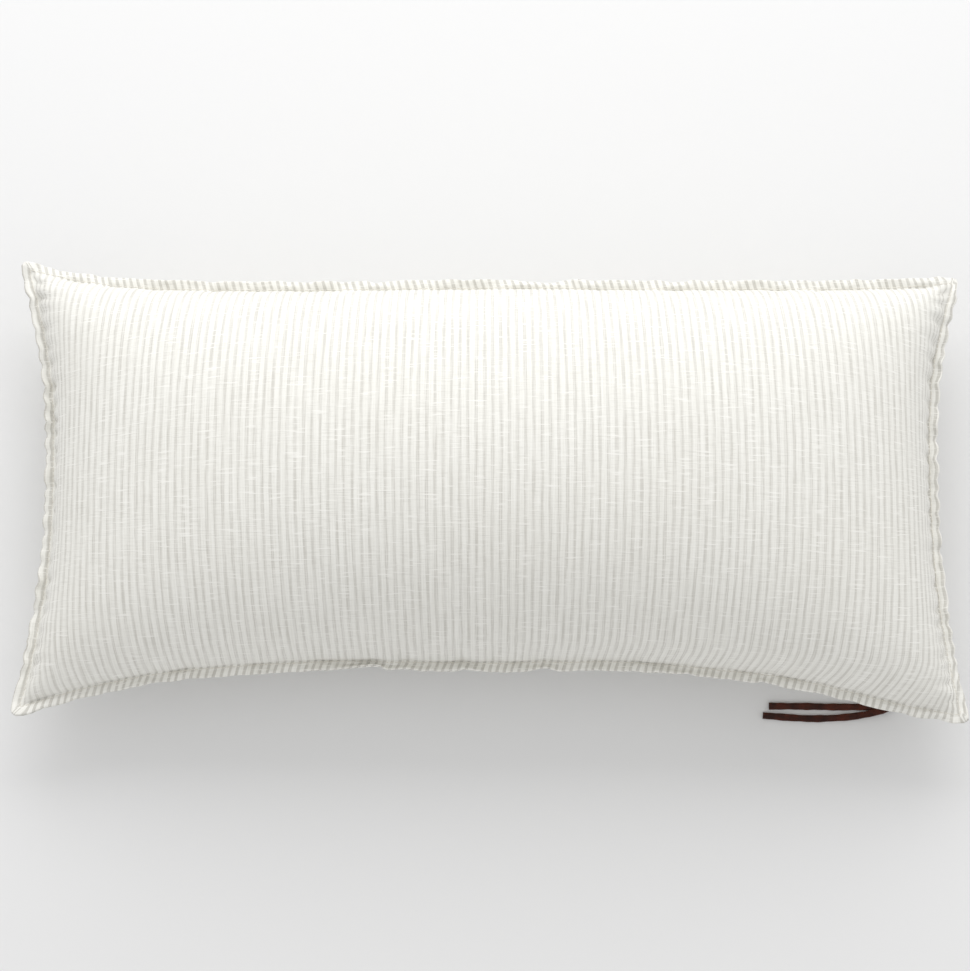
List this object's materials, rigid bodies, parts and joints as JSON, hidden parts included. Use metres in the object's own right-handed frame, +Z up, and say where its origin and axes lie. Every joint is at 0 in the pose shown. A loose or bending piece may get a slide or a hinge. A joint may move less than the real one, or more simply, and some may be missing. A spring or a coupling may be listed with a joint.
{
  "type": "throw pillow",
  "caption": "Rectangular lumbar throw pillow with a narrow top-stitched flange, a coil zip under one long edge and a leather lace on the zip puller.",
  "frame": {"origin": "middle of the face that the pillow rests on, at the bottom of its bounding box without the lace", "axes": "+X along the pillow, towards the end where the closed zip's slider is; +Y across it, away from the zip; +Z up, out of the front face"},
  "size_m": [0.6, 0.2889, 0.1413],
  "materials": {
    "linen": "ivory and warm grey ticking stripe, slubby linen weave, matt",
    "insert_cotton": "plain white cotton",
    "filling": "loose fibre",
    "label_satin": "satin",
    "zip_tape": "herringbone woven tape",
    "zip_coil": "satin nylon",
    "zip_stop": "antique brass",
    "slider_brass": "antique brass",
    "leather": "dark brown, waxed",
    "thread": "sewing thread"
  },
  "bodies": {
    "pillow": {"cover_front": "linen", "cover_back_main": "linen", "cover_back_zip_strip": "linen", "insert_case_front": "insert_cotton", "insert_case_back": "insert_cotton", "insert_filling": "filling", "care_label": "label_satin", "insert_label": "label_satin", "zip_tape_upper": "zip_tape", "zip_tape_lower": "zip_tape", "zip_coil_upper": "zip_coil", "zip_coil_lower": "zip_coil", "zip_top_stop_upper": "zip_stop", "zip_top_stop_lower": "zip_stop", "zip_bottom_stop": "zip_stop", "zip_topstitch_upper": "thread", "zip_topstitch_lower": "thread", "flange_topstitch_front": "thread", "flange_topstitch_back": "thread"},
    "slider": {"slider_body": "slider_brass"},
    "tab": {"pull_tab": "slider_brass"},
    "lace": {"lace_hitch": "leather", "lace_tail_inner": "leather", "lace_tail_outer": "leather"}
  },
  "joints": [
    {"name": "zip_slide", "type": "slide", "parent": "pillow", "child": "slider", "axis": [-1, 0, 0], "range_m": [0, 0.4366]},
    {"name": "tab_swing", "type": "hinge", "parent": "slider", "child": "tab", "pos_m": [0.2194, -0.09255, 0.01945], "axis": [0, -0.7071, 0.7071], "range_deg": [-115, 39]},
    {"name": "lace_swing", "type": "hinge", "parent": "tab", "child": "lace", "pos_m": [0.22999, -0.10213, 0.00987], "axis": [0, -0.7071, 0.7071], "range_deg": [-39, 115]}
  ],
  "couplings": [
    {"joint": "lace_swing", "follows": "tab_swing", "ratio": -1}
  ]
}
